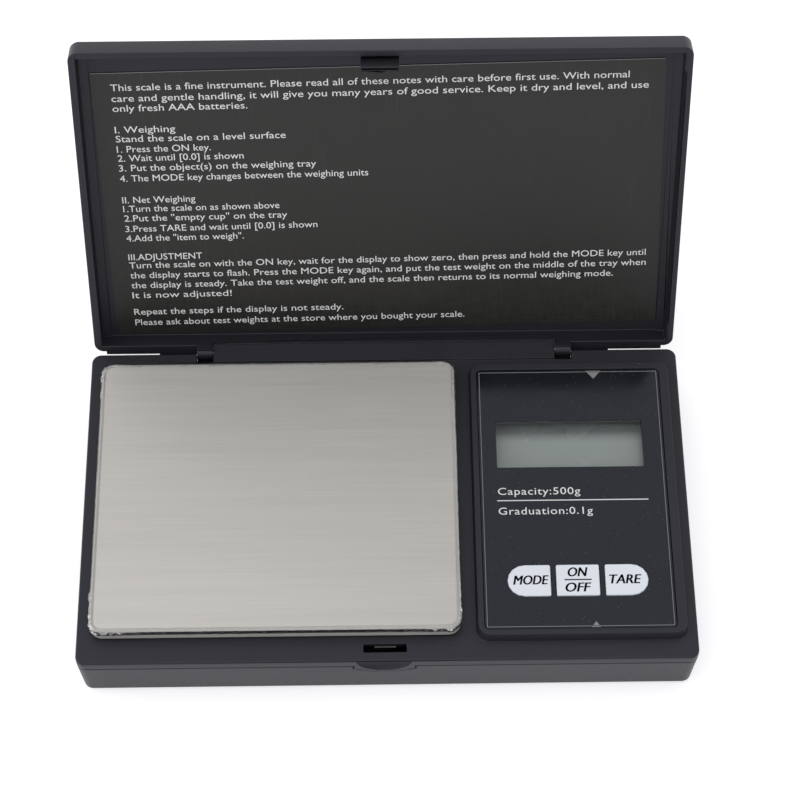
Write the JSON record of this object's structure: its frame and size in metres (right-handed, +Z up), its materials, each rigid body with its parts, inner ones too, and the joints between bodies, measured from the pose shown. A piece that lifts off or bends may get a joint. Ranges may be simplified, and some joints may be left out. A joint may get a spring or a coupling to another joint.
{
  "type": "digital gram scale",
  "caption": "Flip-lid pocket gram scale: a stainless weighing platform beside a raised display with keys, under a hinged lid with printed instructions.",
  "frame": {"origin": "under the middle of the open scale, at the bottoms of its rubber feet", "axes": "+X along the length, from the platform to the display; +Y from the latch at the front to the hinge at the rear; +Z up"},
  "size_m": [0.127, 0.1074, 0.0818],
  "materials": {
    "case": "moulded ABS with a fine satin texture, near black",
    "panel": "glossy black overlay with fine sparkle",
    "window": "clear smooth window",
    "lcd": "grey-green reflective LCD, switched off",
    "key": "pale bluish-white satin plastic, printed dark",
    "label": "printed black label, satin",
    "stainless": "stainless steel, brushed along X, under a clear protective film",
    "steel": "plain steel",
    "aluminium": "machined",
    "nickel": "nickel plated spring steel",
    "board": "green solder mask",
    "chip": "black epoxy and moulded plastic",
    "milky": "milky white",
    "rubber": "matt black rubber",
    "cell": "printed plastic jacket, green",
    "grey_wire": "PVC insulation",
    "red_wire": "PVC insulation",
    "black_wire": "PVC insulation"
  },
  "bodies": {
    "base": {"backlight_diffuser": "milky", "battery_cell_left": "cell", "battery_cell_right": "cell", "battery_wire_black": "black_wire", "battery_wire_red": "red_wire", "board_screw_1": "steel", "board_screw_2": "steel", "board_screw_3": "steel", "board_screw_4": "steel", "bottom_housing": "case", "bridge_contact": "nickel", "bridge_spring": "nickel", "capacitor": "chip", "circuit_board": "board", "controller_chip": "chip", "crystal": "nickel", "display_panel": "panel", "gauge_coating": "milky", "hinge_pin_left": "steel", "hinge_pin_right": "steel", "housing_screw_1": "steel", "housing_screw_2": "steel", "housing_screw_3": "steel", "housing_screw_4": "steel", "lcd_frame": "case", "lcd_glass": "lcd", "lcd_window": "window", "load_cell": "aluminium", "load_cell_screw_1": "steel", "load_cell_screw_2": "steel", "load_cell_wires": "grey_wire", "mode_switch": "chip", "negative_contact": "nickel", "negative_spring": "nickel", "overload_stop_screw": "steel", "positive_contact": "nickel", "power_switch": "chip", "rubber_foot_1": "rubber", "rubber_foot_2": "rubber", "rubber_foot_3": "rubber", "rubber_foot_4": "rubber", "tare_switch": "chip", "top_cover": "case", "zebra_strip_front": "rubber", "zebra_strip_rear": "rubber"},
    "lid": {"lid_shell": "case", "lid_label": "label"},
    "platform": {"platform_tray": "stainless", "platform_carrier": "case", "carrier_screw_1": "steel", "carrier_screw_2": "steel"},
    "mode_button": {"mode_key": "key", "mode_switch_plunger": "milky"},
    "power_button": {"power_key": "key", "power_switch_plunger": "milky"},
    "tare_button": {"tare_key": "key", "tare_switch_plunger": "milky"},
    "door": {"battery_door": "case"}
  },
  "joints": [
    {"name": "lid_hinge", "type": "hinge", "parent": "base", "child": "lid", "pos_m": [0, 0.02056, 0.0131], "axis": [1, 0, 0], "range_deg": [0, 111.9]},
    {"name": "platform_travel", "type": "slide", "parent": "base", "child": "platform", "axis": [0, 0, -1], "range_m": [0, 0.0003], "stiffness_N_per_m": 16000, "deforming": ["load_cell"]},
    {"name": "mode_key_press", "type": "slide", "parent": "base", "child": "mode_button", "axis": [0, 0, -1], "range_m": [0, 0.0004], "stiffness_N_per_m": 400},
    {"name": "power_key_press", "type": "slide", "parent": "base", "child": "power_button", "axis": [0, 0, -1], "range_m": [0, 0.0004], "stiffness_N_per_m": 400},
    {"name": "tare_key_press", "type": "slide", "parent": "base", "child": "tare_button", "axis": [0, 0, -1], "range_m": [0, 0.0004], "stiffness_N_per_m": 400},
    {"name": "battery_door_slide", "type": "slide", "parent": "base", "child": "door", "axis": [-1, 0, 0], "range_m": [0, 0.026]}
  ]
}
